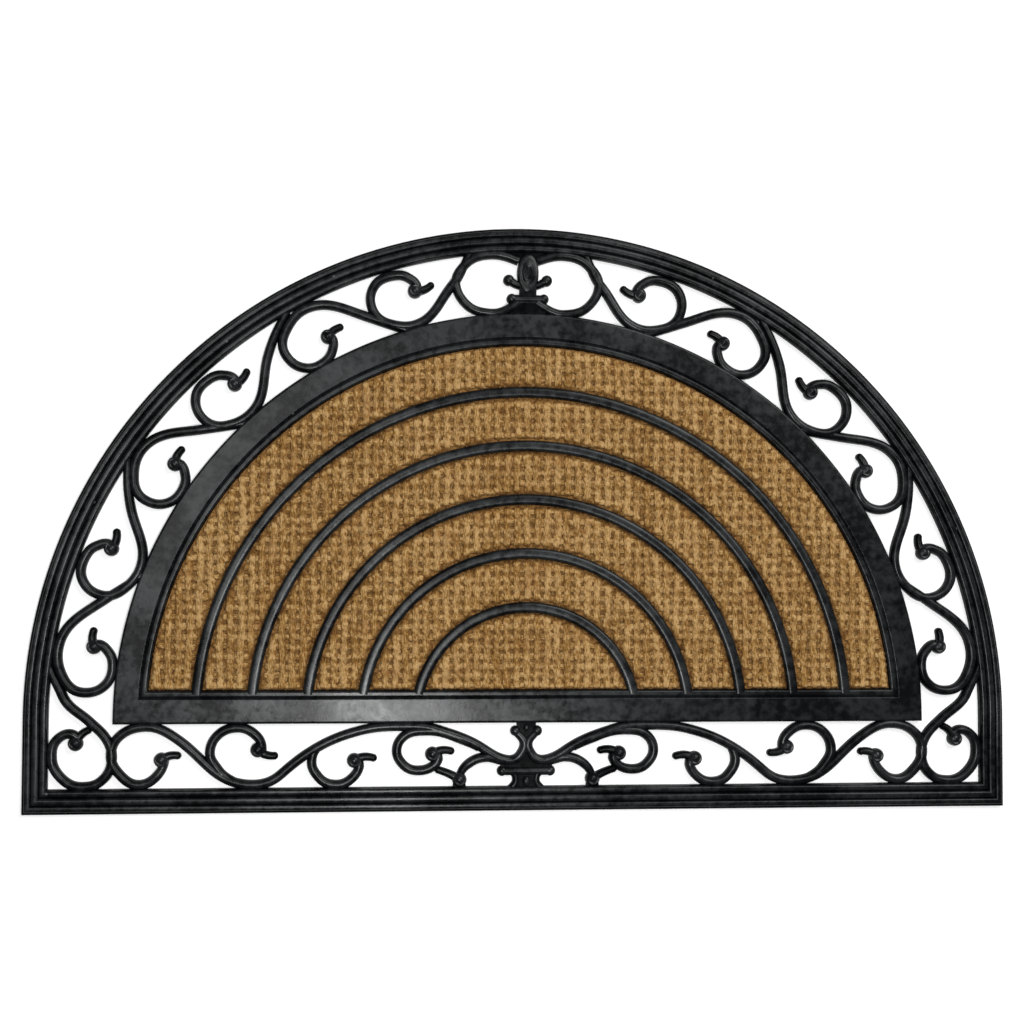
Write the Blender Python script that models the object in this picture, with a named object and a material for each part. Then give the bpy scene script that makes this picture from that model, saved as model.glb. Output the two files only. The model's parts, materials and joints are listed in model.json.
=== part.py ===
"""Half-round doormat: a black rubber moulding in wrought-iron style round a woven coir panel.

Sizes and tables are in millimetres, and place() turns them into Blender's metres. In the
tables y starts at the mat's straight edge. In the scene the mat lies on z = 0, +X runs along
the straight edge, +Y points to the top of the arch, and the origin is the middle of its box.
"""

import math

import bmesh
import bpy
from mathutils import Vector

MM = 0.001

# Whole mat: a half circle on short straight sides
WIDTH = 750.0
SIDE_LENGTH = 70.0
ARCH_RADIUS = WIDTH / 2
DEPTH = SIDE_LENGTH + ARCH_RADIUS
ARCH_STEPS = 54

# Rim: three rounded ridges with two grooves between, as (inset from the mat's edge, height)
RIM_WIDTH = 18.6
RIM_SECTION = [
    (0.0, 0.0),
    (0.0, 3.6),
    (3.0, 6.4),
    (5.2, 6.4),
    (6.6, 5.2),
    (7.9, 7.3),
    (11.3, 7.3),
    (12.6, 5.7),
    (14.1, 7.5),
    (16.9, 7.5),
    (RIM_WIDTH, 5.4),
    (RIM_WIDTH, 0.0),
]

# Border round the coir: a flat band, a groove and a bead, then the floor under the coir
BORDER_RADIUS = 309.5
BORDER_BOTTOM = 66.5
BORDER_WIDTH = 25.2
FLOOR_HEIGHT = 2.0
BORDER_SECTION = [
    (0.0, 0.0),
    (0.0, 5.0),
    (1.6, 7.0),
    (18.0, 7.0),
    (19.5, 5.9),
    (21.0, 7.9),
    (23.1, 7.9),
    (BORDER_WIDTH, 5.6),
    (BORDER_WIDTH, FLOOR_HEIGHT),
]

# Coir panel, parted from the rubber by the clearance
CLEARANCE = 0.3
COIR_TOP = 7.2
COIR_ROUNDING = 0.8

# Ribs: five rings about the arch's centre, pressed into the coir and joined to the bead
RIB_COUNT = 5
FIRST_RIB_RADIUS = 84.2
RIB_PITCH = 41.1
RIB_HALF_WIDTH = 4.2
RIB_HALF_CROWN = 2.0
RIB_UNDERSIDE = 5.4
RIB_TOP = 8.5
RIB_STEP_LENGTH = 20.0
RIB_END_Y = BORDER_BOTTOM + 22.1

# Scroll bars: a peaked section that stands on the ground
BAR_HALF_WIDTH = 3.7
BAR_SHOULDER = (3.1, 4.7)
BAR_HEIGHT = 7.2
BAR_STEPS = 2
HANDLE_SHARE = 0.37
BUD_RADIUS = 5.6
BUD_TOP_RADIUS = 3.2
BUD_HEIGHT = 7.5
BUD_SIDES = 8
TAIL_ROOT = 0.93
TAIL_TIP = 0.78
TAIL_BOW = 24.0

# The band between rim and border that holds the arch's scrolls
BAND_MIDDLE = (ARCH_RADIUS - RIM_WIDTH + BORDER_RADIUS) / 2

# One scroll of the arch, and its two kinds of start. Columns: along (away from the mat's top,
# from the curl's centre), towards (to the side where the scroll starts, from the band's middle),
# heading (degrees from the along axis, turning to the start side), lead share (how much of the
# scroll's own lead lengthens it here) and shift share (how much of its own shift moves it here).
# Columns of the tails' tips: along, towards and bow (degrees)
ARCH_STARTS = {
    "flat": (-75.5, 25.0, -29.0, 1.0, 0.0),
    "steep": (-60.2, 24.8, -56.0, 1.0, 0.0),
}
ARCH_SCROLL = [
    (-45.6, 3.8, -40.0, 1.0, 0.0),
    (-10.8, -20.9, -6.0, 0.5, 0.3),
    (10.5, -14.3, 33.0, 0.0, 1.0),
    (19.4, 0.2, 88.0, 0.0, 1.0),
    (13.1, 15.9, 138.0, 0.0, 1.0),
    (-1.8, 20.3, 185.0, 0.0, 1.0),
    (-13.2, 15.7, 226.0, 0.0, 1.0),
    (-18.0, 8.2, 262.0, 0.0, 1.0),
    (-17.2, 4.4, 280.0, 0.0, 1.0),
]
ARCH_BUD = (-15.6, 4.4, 0.0, 0.0, 1.0)
ARCH_TAILS = {"rim": (-28.2, 5.9, -22.0), "border": (-27.2, 1.8, 20.0)}
ARCH_ENDS = (0.85, 0.88)

# The arch's scrolls. Columns: angle of the curl's centre from the mat's top (degrees), whether
# the scroll starts on the rim or on the border, the kind of start, lead (extra length of its
# straight run) and shift (of its curl towards the start side)
ARCH_SCROLLS = [
    (17.6, "rim", "steep", 0.0, -0.7),
    (30.5, "border", "flat", 3.6, 1.7),
    (44.1, "rim", "flat", 1.6, -1.5),
    (57.0, "border", "flat", 2.6, 0.9),
    (70.5, "rim", "flat", 2.4, -0.4),
    (83.2, "border", "flat", 6.0, 0.1),
]

# Scrolls laid out by x and y, on the left half. Columns of the knots: x, y, heading (degrees).
# A bar is smaller in section at its two ends (ends), where it lies in another piece or in its
# bud, and the loop at the top is a little smaller all along (size). A tail that bows the other
# way has its own bow (degrees)
RING_LOOP = {
    "size": 0.96,
    "ends": (0.96, 0.96),
    "knots": [
        (-7.0, 388.0, 212.0),
        (-28.8, 379.5, 176.0),
        (-47.2, 386.0, 136.0),
        (-55.4, 402.0, 95.0),
        (-47.9, 416.9, 47.0),
        (-28.9, 424.8, 4.0),
        (-7.0, 420.2, -20.0),
    ],
}
CORNER_SCROLL = {
    "ends": (0.85, 0.87),
    "knots": [
        (-357.3, 113.5, -78.0),
        (-346.3, 87.5, -66.0),
        (-326.8, 68.6, -43.0),
        (-312.7, 53.1, -62.0),
        (-310.1, 37.8, -96.0),
        (-318.0, 24.1, -141.0),
        (-332.0, 20.2, 180.0),
        (-346.8, 27.0, 134.0),
        (-353.8, 41.5, 93.0),
        (-350.6, 54.6, 49.0),
        (-339.4, 59.2, -14.0),
        (-334.6, 55.4, -64.0),
    ],
    "bud": (-336.4, 52.4),
    "tail": (-327.8, 62.0),
}
LONG_SCROLL = {
    "ends": (0.9, 0.85),
    "knots": [
        (-271.2, 41.0, -92.0),
        (-277.1, 27.6, -133.0),
        (-290.7, 21.4, 178.0),
        (-303.6, 28.6, 133.0),
        (-310.7, 42.8, 91.0),
        (-304.6, 57.5, 42.0),
        (-287.0, 64.4, 4.0),
        (-261.9, 55.0, -35.0),
        (-239.5, 35.1, -43.0),
        (-206.9, 20.9, -1.0),
        (-185.3, 28.3, 41.0),
        (-160.7, 46.9, 31.0),
        (-128.2, 60.4, 15.0),
        (-98.0, 64.0, 0.0),
        (-66.1, 61.0, -18.0),
        (-38.6, 50.4, -28.0),
        (-14.2, 38.2, -8.0),
        (-4.4, 42.2, 58.0),
        (-1.3, 50.0, 92.0),
        (-8.0, 59.8, 132.0),
    ],
    "bud": (-273.6, 39.8),
    "tail": (-261.8, 43.0),
}
UPPER_CURL = {
    "ends": (0.87, 0.85),
    "knots": [
        (-199.3, 44.8, 80.0),
        (-203.6, 57.4, 137.0),
        (-216.9, 63.5, 179.0),
        (-231.7, 58.4, 222.0),
        (-237.9, 44.8, 269.0),
        (-231.8, 32.3, 306.0),
        (-218.4, 22.7, 333.0),
    ],
    "bud": (-202.4, 46.9),
    "tail": (-190.0, 42.4),
    "bow": -24.0,
}
LOWER_CURL = {
    "ends": (0.85, 0.87),
    "knots": [
        (-156.1, 49.5, 215.0),
        (-162.2, 37.3, 269.0),
        (-156.8, 26.0, 310.0),
        (-143.7, 20.4, 0.0),
        (-131.5, 25.6, 44.0),
        (-126.4, 34.5, 80.0),
        (-127.8, 39.0, 112.0),
    ],
    "bud": (-130.3, 38.6),
    "tail": (-116.0, 40.4),
}
INNER_CURL = {
    "ends": (0.85, 0.87),
    "knots": [
        (-36.0, 47.5, 150.0),
        (-52.0, 54.9, 157.0),
        (-76.0, 60.5, 181.0),
        (-93.1, 56.4, 220.0),
        (-98.4, 45.5, 270.0),
        (-93.4, 35.1, 314.0),
        (-81.7, 30.6, 1.0),
        (-70.0, 34.6, 40.0),
        (-66.8, 40.0, 78.0),
        (-68.6, 43.6, 118.0),
    ],
    "bud": (-71.4, 43.0),
    "tail": (-57.4, 45.2),
}
SHORT_CURL = {
    "ends": (0.85, 0.8),
    "knots": [
        (-16.0, 37.1, 178.0),
        (-31.4, 40.2, 184.0),
        (-43.5, 35.8, 216.0),
        (-50.4, 26.6, 255.0),
    ],
    "bud": (-50.9, 23.7),
    "tail": (-67.0, 31.0),
    "bow": -8.0,
}
FREE_SCROLLS = [
    RING_LOOP,
    CORNER_SCROLL,
    LONG_SCROLL,
    UPPER_CURL,
    LOWER_CURL,
    INNER_CURL,
    SHORT_CURL,
]

# Ornament at the arch's top: a pod on a web, two arms, a collar, a stem and a spreading foot
POD_CENTRE_Y = 410.5
POD_HALF_WIDTH = 8.4
POD_HALF_LENGTH = 15.5
POD_WEB_OUTLINE = [(-10.0, 418.8), (10.0, 418.8), (13.0, 427.2), (-13.0, 427.2)]
POD_WEB_HEIGHT = 4.6
ARM_ROOT_Y = 400.0
ARM_TIP = (14.7, 405.2)
ARM_KNOB_RADIUS = 4.3
COLLAR_Y = 390.8
COLLAR_HALF_LENGTH = 12.4
KNOB_RADIUS = 4.0
STEM_OUTLINE = [(-6.6, 387.2), (6.6, 387.2), (6.6, 402.0), (-6.6, 402.0)]
FOOT_HALF_WIDTHS = (11.0, 15.0)
FOOT_YS = (390.5, 376.8)
FOOT_HEIGHT = 5.2
STEM_HEIGHT = 5.6

# Ornament at the middle of the straight edge: a neck with a bead, a web, a plate with knobs and
# two legs with a bead between them. A pad under each short curl's bud joins it to the rim.
# Columns of the beads: name, y, radius
NECK_OUTLINE = [(-2.5, 53.0), (2.5, 53.0), (7.4, 59.0), (7.4, 68.5), (-7.4, 68.5), (-7.4, 59.0)]
SHOULDER_KNOB = (8.3, 60.2)
PLATE_Y = 30.0
PLATE_HALF_LENGTH = 18.4
WEB_OUTLINE = [(-20.0, 31.0), (20.0, 31.0), (19.5, 38.0), (0.0, 44.0), (-19.5, 38.0)]
WEB_HEIGHT = 5.0
LEG_KNOTS = [(-11.5, 30.0, -30.0), (-7.6, 23.4, -90.0), (-13.5, 15.0, -135.0)]
LEG_WEB_OUTLINE = [(-8.0, 16.0), (8.0, 16.0), (8.0, 30.0), (-8.0, 30.0)]
PAD_OUTLINE = [(-56.2, 16.5), (-45.6, 16.5), (-46.4, 23.0), (-55.4, 23.0)]
PAD_HEIGHT = 4.3
BEADS = [("lower_bead", 22.4, 3.5), ("upper_bead", 62.9, 2.5)]
BEAD_STRETCH = 1.25


def place(x, y, z=0.0):
    """A point of the tables in Blender's metres."""
    return Vector((x * MM, (y - DEPTH / 2) * MM, z * MM))


def clear_scene():
    for thing in list(bpy.data.objects):
        bpy.data.objects.remove(thing, do_unlink=True)


def new_collection(name):
    collection = bpy.data.collections.new(name)
    bpy.context.scene.collection.children.link(collection)
    return collection


def new_material(name, colour, roughness):
    material = bpy.data.materials.new(name)
    material.use_nodes = True
    shader = material.node_tree.nodes["Principled BSDF"]
    shader.inputs["Base Color"].default_value = (*colour, 1.0)
    shader.inputs["Roughness"].default_value = roughness
    shader.inputs["Metallic"].default_value = 0.0
    return material


def add_object(name, data, collection):
    thing = bpy.data.objects.new(name, data)
    collection.objects.link(thing)
    return thing


def hide(thing):
    """A helper that only shapes other pieces."""
    thing.hide_render = True
    thing.display_type = "WIRE"


def half_round(radius, bottom, height):
    """A half-round outline, anticlockwise from its bottom right corner.

    Its arc starts where the straight side ends, or on the bottom where that lies higher.
    """
    first = math.asin(max(bottom - SIDE_LENGTH, 0.0) / radius)
    lead = 1 if first else 0
    half_bottom = radius * math.cos(first)
    ring = [(half_bottom, bottom, height)]
    for step in range(ARCH_STEPS + 1):
        angle = first + (math.pi - 2 * first) * (step + lead) / (ARCH_STEPS + 2 * lead)
        x = radius * math.cos(angle)
        y = SIDE_LENGTH + radius * math.sin(angle)
        ring.append((x, y, height))
    ring.append((-half_bottom, bottom, height))
    return ring


def loft(name, rings, collection, is_tube):
    """Joins anticlockwise rings of equal length, listed from below, over the top and inwards.

    A tube's last ring meets its first. Otherwise the first and last rings are capped.
    """
    work = bmesh.new()
    rows = []
    for ring in rings:
        rows.append([work.verts.new(place(*point)) for point in ring])
    pairs = list(zip(rows, rows[1:]))
    if is_tube:
        pairs.append((rows[-1], rows[0]))
    else:
        work.faces.new(rows[0][::-1])
        work.faces.new(rows[-1])
    for lower, upper in pairs:
        for i in range(len(lower)):
            j = (i + 1) % len(lower)
            work.faces.new((lower[i], lower[j], upper[j], upper[i]))
    mesh = bpy.data.meshes.new(name)
    work.to_mesh(mesh)
    work.free()
    return add_object(name, mesh, collection)


def section_curve(name, points, collection):
    """A closed cross-section for swept bars: x is across the bar and y is up."""
    data = bpy.data.curves.new(name, "CURVE")
    data.dimensions = "2D"
    spline = data.splines.new("POLY")
    spline.points.add(len(points) - 1)
    for point, (across, up) in zip(spline.points, reversed(points)):
        point.co = (across * MM, up * MM, 0.0, 1.0)
    spline.use_cyclic_u = True
    thing = add_object(name, data, collection)
    hide(thing)
    return thing


def swept_data(name, section):
    data = bpy.data.curves.new(name, "CURVE")
    data.dimensions = "3D"
    data.twist_mode = "Z_UP"
    data.bevel_mode = "OBJECT"
    data.bevel_object = section
    data.use_fill_caps = True
    return data


def mesh_from_curve(name, data, collection):
    """The swept bar as a closed mesh, with its end caps welded to its sides."""
    curve = add_object(name + "_curve", data, collection)
    graph = bpy.context.evaluated_depsgraph_get()
    mesh = bpy.data.meshes.new_from_object(curve.evaluated_get(graph))
    bpy.data.objects.remove(curve, do_unlink=True)
    work = bmesh.new()
    work.from_mesh(mesh)
    bmesh.ops.remove_doubles(work, verts=work.verts, dist=1e-6)
    work.to_mesh(mesh)
    work.free()
    return add_object(name, mesh, collection)


def bar(name, knots, section, collection, thickness=None):
    """A bar through knots of x, y and heading, each with its share of the section's full size."""
    if thickness is None:
        thickness = [1.0] * len(knots)
    data = swept_data(name, section)
    data.resolution_u = BAR_STEPS
    spline = data.splines.new("BEZIER")
    spline.bezier_points.add(len(knots) - 1)
    places = [place(x, y) for x, y, _ in knots]
    for i, point in enumerate(spline.bezier_points):
        angle = math.radians(knots[i][2])
        heading = Vector((math.cos(angle), math.sin(angle), 0.0))
        before = (places[i] - places[max(i - 1, 0)]).length
        after = (places[min(i + 1, len(knots) - 1)] - places[i]).length
        point.handle_left_type = "FREE"
        point.handle_right_type = "FREE"
        point.co = places[i]
        point.handle_left = places[i] - heading * HANDLE_SHARE * (before or after)
        point.handle_right = places[i] + heading * HANDLE_SHARE * (after or before)
        point.radius = thickness[i]
    return mesh_from_curve(name, data, collection)


def ring_bar(name, radius, end_y, section, collection):
    """A bar round the arch's centre, from end_y on one side to end_y on the other."""
    first = math.asin((end_y - SIDE_LENGTH) / radius)
    sweep = math.pi - 2 * first
    steps = math.ceil(sweep * radius / RIB_STEP_LENGTH)
    data = swept_data(name, section)
    spline = data.splines.new("POLY")
    spline.points.add(steps)
    for step, point in enumerate(spline.points):
        angle = first + sweep * step / steps
        centre = place(radius * math.cos(angle), SIDE_LENGTH + radius * math.sin(angle))
        point.co = (*centre, 1.0)
    return mesh_from_curve(name, data, collection)


def boss(name, x, y, radius, top_radius, height, collection, stretch=1.0):
    """A tapered round boss that stands on the ground, longer along y by stretch."""
    work = bmesh.new()
    bmesh.ops.create_cone(
        work,
        cap_ends=True,
        segments=BUD_SIDES,
        radius1=radius * MM,
        radius2=top_radius * MM,
        depth=height * MM,
    )
    bmesh.ops.rotate(work, verts=work.verts, matrix=turned(180.0 / BUD_SIDES))
    bmesh.ops.scale(work, verts=work.verts, vec=(1.0, stretch, 1.0))
    bmesh.ops.translate(work, verts=work.verts, vec=place(x, y, height / 2))
    mesh = bpy.data.meshes.new(name)
    work.to_mesh(mesh)
    work.free()
    return add_object(name, mesh, collection)


def turned(degrees):
    """The matrix of a turn about the vertical."""
    from_x = Vector((math.cos(math.radians(degrees)), math.sin(math.radians(degrees)), 0.0))
    return from_x.to_track_quat("X", "Z").to_matrix()


def slab(name, outline, height, collection):
    """A flat plate with this outline that stands on the ground."""
    rings = [[(x, y, z) for x, y in outline] for z in (0.0, height)]
    return loft(name, rings, collection, is_tube=False)


def on_arch(knot, scroll):
    """A knot of the arch's scroll in x, y and heading, on the left half."""
    along, towards, heading, lead_share, shift_share = knot
    centre_angle, start_side, _, lead, shift = scroll
    angle = math.radians(centre_angle) + (along - lead_share * lead) / BAND_MIDDLE
    outward = 1.0 if start_side == "rim" else -1.0
    radius = BAND_MIDDLE + outward * (towards + shift_share * shift)
    turn = math.radians(heading)
    forward = (-math.cos(angle), -math.sin(angle))
    across = (-outward * math.sin(angle), outward * math.cos(angle))
    dx = math.cos(turn) * forward[0] + math.sin(turn) * across[0]
    dy = math.cos(turn) * forward[1] + math.sin(turn) * across[1]
    x = -radius * math.sin(angle)
    y = SIDE_LENGTH + radius * math.cos(angle)
    return (x, y, math.degrees(math.atan2(dy, dx)))


def arch_scroll(scroll):
    """One scroll of the arch as a layout in x and y."""
    knots = [ARCH_STARTS[scroll[2]]] + ARCH_SCROLL
    along, towards, bow = ARCH_TAILS[scroll[1]]
    return {
        "ends": ARCH_ENDS,
        "knots": [on_arch(knot, scroll) for knot in knots],
        "bud": on_arch(ARCH_BUD, scroll)[:2],
        "tail": on_arch((along, towards, 0.0, 0.0, 1.0), scroll)[:2],
        "bow": bow,
    }


def tail_knots(layout):
    """A short leaf that leaves the bud with a slight bow."""
    bud, tip = layout["bud"], layout["tail"]
    bow = layout.get("bow", TAIL_BOW)
    heading = math.degrees(math.atan2(tip[1] - bud[1], tip[0] - bud[0]))
    return [(*bud, heading + bow), (*tip, heading - bow)]


def mirrored(knots, side):
    """Knots of the left half as they are (side 1), or on the right half (side -1)."""
    if side > 0:
        return list(knots)
    return [(-x, y, 180.0 - heading) for x, y, heading in knots]


def bar_sizes(layout):
    """Each knot's share of full size."""
    start, end = layout["ends"]
    return [start] + [layout.get("size", 1.0)] * (len(layout["knots"]) - 2) + [end]


def scroll_pieces(name, layout, side, section, collection):
    knots = mirrored(layout["knots"], side)
    pieces = [bar(name, knots, section, collection, bar_sizes(layout))]
    if "bud" in layout:
        x, y = layout["bud"]
        bud = boss(
            name + "_bud", side * x, y, BUD_RADIUS, BUD_TOP_RADIUS, BUD_HEIGHT, collection
        )
        knots = mirrored(tail_knots(layout), side)
        tail = bar(name + "_tail", knots, section, collection, (TAIL_ROOT, TAIL_TIP))
        pieces += [bud, tail]
    return pieces


def knob(name, x, y, radius, collection):
    boss(name, x, y, radius, radius * 0.6, BUD_HEIGHT, collection)


def top_ornament(section, collection):
    pod_stretch = POD_HALF_LENGTH / POD_HALF_WIDTH
    boss(
        "pod",
        0.0,
        POD_CENTRE_Y,
        POD_HALF_WIDTH,
        POD_HALF_WIDTH - 3.2,
        BAR_HEIGHT,
        collection,
        pod_stretch,
    )
    narrow, wide = FOOT_HALF_WIDTHS
    upper, lower = FOOT_YS
    foot = [(-narrow, upper), (-wide, lower), (wide, lower), (narrow, upper)]
    slab("top_foot", foot, FOOT_HEIGHT, collection)
    slab("stem", STEM_OUTLINE, STEM_HEIGHT, collection)
    slab("pod_web", POD_WEB_OUTLINE, POD_WEB_HEIGHT, collection)
    collar = [(-COLLAR_HALF_LENGTH, COLLAR_Y, 0.0), (COLLAR_HALF_LENGTH, COLLAR_Y, 0.0)]
    bar("collar", collar, section, collection, (0.9, 0.9))
    tip_x, tip_y = ARM_TIP
    arms = [(-tip_x, tip_y, -30.0), (0.0, ARM_ROOT_Y, 0.0), (tip_x, tip_y, 30.0)]
    bar("arms", arms, section, collection, (0.9, 0.7, 0.9))
    for side in (1, -1):
        knob(f"arm_knob_{side}", side * tip_x, tip_y, ARM_KNOB_RADIUS, collection)
        knob(f"collar_knob_{side}", side * COLLAR_HALF_LENGTH, COLLAR_Y, KNOB_RADIUS, collection)


def lower_ornament(section, collection):
    slab("neck", NECK_OUTLINE, WEB_HEIGHT, collection)
    slab("web", WEB_OUTLINE, WEB_HEIGHT, collection)
    slab("leg_web", LEG_WEB_OUTLINE, WEB_HEIGHT, collection)
    plate = [(-PLATE_HALF_LENGTH, PLATE_Y, 0.0), (PLATE_HALF_LENGTH, PLATE_Y, 0.0)]
    bar("plate", plate, section, collection, (0.95, 0.95))
    for name, y, radius in BEADS:
        boss(name, 0.0, y, radius, radius * 0.5, BAR_HEIGHT, collection, BEAD_STRETCH)
    for side in (1, -1):
        bar(f"leg_{side}", mirrored(LEG_KNOTS, side), section, collection, (0.8, 0.8, 0.8))
        knob(f"plate_knob_{side}", side * PLATE_HALF_LENGTH, PLATE_Y, KNOB_RADIUS, collection)
        x, y = SHOULDER_KNOB
        knob(f"shoulder_knob_{side}", side * x, y, KNOB_RADIUS, collection)
        pad = [(side * x, y) for x, y in PAD_OUTLINE[::side]]
        slab(f"pad_{side}", pad, PAD_HEIGHT, collection)


def rib_section(grow):
    """A rib's cross-section, wider and lower by grow for the groove that it lies in."""
    half = RIB_HALF_WIDTH + grow
    low = RIB_UNDERSIDE - grow
    if grow:
        return [(-half, low), (half, low), (half, RIB_TOP + 2.0), (-half, RIB_TOP + 2.0)]
    return [
        (-half, low),
        (half, low),
        (RIB_HALF_CROWN, RIB_TOP),
        (-RIB_HALF_CROWN, RIB_TOP),
    ]


def join_or_cut(thing, collection, operation):
    boolean = thing.modifiers.new(operation.title(), "BOOLEAN")
    boolean.operation = operation
    boolean.solver = "MANIFOLD"
    boolean.operand_type = "COLLECTION"
    boolean.collection = collection


def build_moulding(parts, helpers, joined):
    shoulder_x, shoulder_z = BAR_SHOULDER
    section = section_curve(
        "bar_section",
        [
            (-BAR_HALF_WIDTH, 0.0),
            (BAR_HALF_WIDTH, 0.0),
            (shoulder_x, shoulder_z),
            (0.0, BAR_HEIGHT),
            (-shoulder_x, shoulder_z),
        ],
        helpers,
    )
    rib = section_curve("rib_section", rib_section(0.0), helpers)
    border = []
    for inset, height in BORDER_SECTION:
        border.append(half_round(BORDER_RADIUS - inset, BORDER_BOTTOM + inset, height))
    moulding = loft("rubber_moulding", border, parts, is_tube=False)
    rim = [half_round(ARCH_RADIUS - inset, inset, height) for inset, height in RIM_SECTION]
    loft("rim", rim, joined, is_tube=True)
    for i in range(RIB_COUNT):
        radius = FIRST_RIB_RADIUS + i * RIB_PITCH
        ring_bar(f"rib_{i + 1}", radius, RIB_END_Y, rib, joined)
    layouts = [arch_scroll(scroll) for scroll in ARCH_SCROLLS] + FREE_SCROLLS
    for side in (1, -1):
        for i, layout in enumerate(layouts):
            scroll_pieces(f"scroll_{i + 1}_{side}", layout, side, section, joined)
    top_ornament(section, joined)
    lower_ornament(section, joined)
    for piece in joined.objects:
        hide(piece)
    join_or_cut(moulding, joined, "UNION")
    return moulding


def build_coir(parts, helpers, cutters):
    radius = BORDER_RADIUS - BORDER_WIDTH - CLEARANCE
    bottom = BORDER_BOTTOM + BORDER_WIDTH + CLEARANCE
    underside = FLOOR_HEIGHT + CLEARANCE
    rings = [
        half_round(radius, bottom, underside),
        half_round(radius, bottom, COIR_TOP - COIR_ROUNDING),
        half_round(radius - COIR_ROUNDING, bottom + COIR_ROUNDING, COIR_TOP),
    ]
    coir = loft("coir_panel", rings, parts, is_tube=False)
    groove = section_curve("groove_section", rib_section(CLEARANCE), helpers)
    for i in range(RIB_COUNT):
        groove_radius = FIRST_RIB_RADIUS + i * RIB_PITCH
        cutter = ring_bar(f"groove_{i + 1}", groove_radius, RIB_END_Y, groove, cutters)
        hide(cutter)
    join_or_cut(coir, cutters, "DIFFERENCE")
    return coir


def finish(thing, material):
    thing.data.materials.append(material)
    thing.data.shade_smooth()
    thing.data.set_sharp_from_angle(angle=math.radians(35.0))


def main():
    clear_scene()
    parts = new_collection("coir_doormat")
    helpers = new_collection("sections")
    joined = new_collection("joined_pieces")
    cutters = new_collection("cutters")
    moulding = build_moulding(parts, helpers, joined)
    coir = build_coir(parts, helpers, cutters)
    finish(moulding, new_material("rubber", (0.022, 0.023, 0.025), 0.45))
    finish(coir, new_material("coir", (0.43, 0.28, 0.12), 0.95))


main()
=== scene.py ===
"""Looks of the half-round doormat: the fine rubber moulding, the woven coir, light and camera.

Sizes and tables are in millimetres, with y from the mat's straight edge, and place() turns
them into the frame's metres. The frame lies on z = 0 with its origin at the middle of its box.
"""

import json
import math

import bmesh
import bpy
import numpy as np
from mathutils import Euler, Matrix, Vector

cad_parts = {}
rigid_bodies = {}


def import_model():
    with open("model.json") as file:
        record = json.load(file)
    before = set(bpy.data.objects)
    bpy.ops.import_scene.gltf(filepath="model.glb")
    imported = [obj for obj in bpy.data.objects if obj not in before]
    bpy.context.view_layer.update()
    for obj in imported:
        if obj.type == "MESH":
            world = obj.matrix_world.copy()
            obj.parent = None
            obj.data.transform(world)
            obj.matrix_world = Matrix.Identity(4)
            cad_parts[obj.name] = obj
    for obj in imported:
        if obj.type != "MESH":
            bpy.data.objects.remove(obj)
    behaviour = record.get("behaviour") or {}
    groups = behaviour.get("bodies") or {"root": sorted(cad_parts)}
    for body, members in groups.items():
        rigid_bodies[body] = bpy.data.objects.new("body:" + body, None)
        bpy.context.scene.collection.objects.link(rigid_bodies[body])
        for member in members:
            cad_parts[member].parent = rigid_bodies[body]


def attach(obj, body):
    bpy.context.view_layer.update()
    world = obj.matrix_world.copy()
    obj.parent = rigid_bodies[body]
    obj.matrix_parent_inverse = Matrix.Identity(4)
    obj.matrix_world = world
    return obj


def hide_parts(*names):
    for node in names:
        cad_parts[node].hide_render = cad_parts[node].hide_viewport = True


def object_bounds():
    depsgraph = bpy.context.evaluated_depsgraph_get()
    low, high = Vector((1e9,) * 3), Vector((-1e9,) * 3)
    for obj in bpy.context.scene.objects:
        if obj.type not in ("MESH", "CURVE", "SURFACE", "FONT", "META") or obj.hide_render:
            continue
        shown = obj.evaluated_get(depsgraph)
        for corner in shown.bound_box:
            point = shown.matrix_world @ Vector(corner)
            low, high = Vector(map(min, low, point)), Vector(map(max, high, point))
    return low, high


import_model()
cad_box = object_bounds()

MM = 0.001
RNG = np.random.default_rng(7)

# Whole mat: a half circle on short straight sides
SIDE_LENGTH = 70.0
ARCH_RADIUS = (cad_box[1].x - cad_box[0].x) / MM / 2
DEPTH = SIDE_LENGTH + ARCH_RADIUS
ARCH_STEPS = 170

# Rim: ridges as (inset of the crest, half width, crest height), with grooves between them
RIM_WIDTH = 18.6
RIM_FOOT = [(0.0, 0.0), (0.0, 3.4), (0.4, 4.2), (1.2, 4.9)]
RIM_RIDGES = [(4.1, 2.5, 6.5), (9.6, 3.0, 7.3), (15.5, 2.8, 7.5)]
RIM_GROOVE = 5.0
RIM_EDGE = [(RIM_WIDTH, 4.6), (RIM_WIDTH, 0.0)]
RIDGE_POINTS = 11
RIDGE_POWER = 3.6

# Border round the coir, as (inset, height): rounded edge, flat band, groove, bead and floor
BORDER_RADIUS = 309.5
BORDER_BOTTOM = 66.5
BORDER_WIDTH = 25.2
FLOOR_HEIGHT = 2.0
BORDER_SECTION = [
    (0.0, 0.0),
    (0.0, 5.1),
    (0.25, 5.9),
    (0.7, 6.5),
    (1.3, 6.85),
    (2.0, 7.0),
    (17.9, 7.0),
    (18.4, 6.8),
    (18.8, 6.2),
    (19.2, 5.85),
    (19.7, 6.1),
    (20.1, 6.9),
    (20.6, 7.6),
    (21.2, 7.88),
    (23.1, 7.9),
    (23.9, 7.6),
    (24.5, 6.9),
    (24.9, 6.0),
    (BORDER_WIDTH, 4.8),
    (BORDER_WIDTH, FLOOR_HEIGHT),
]

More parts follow.
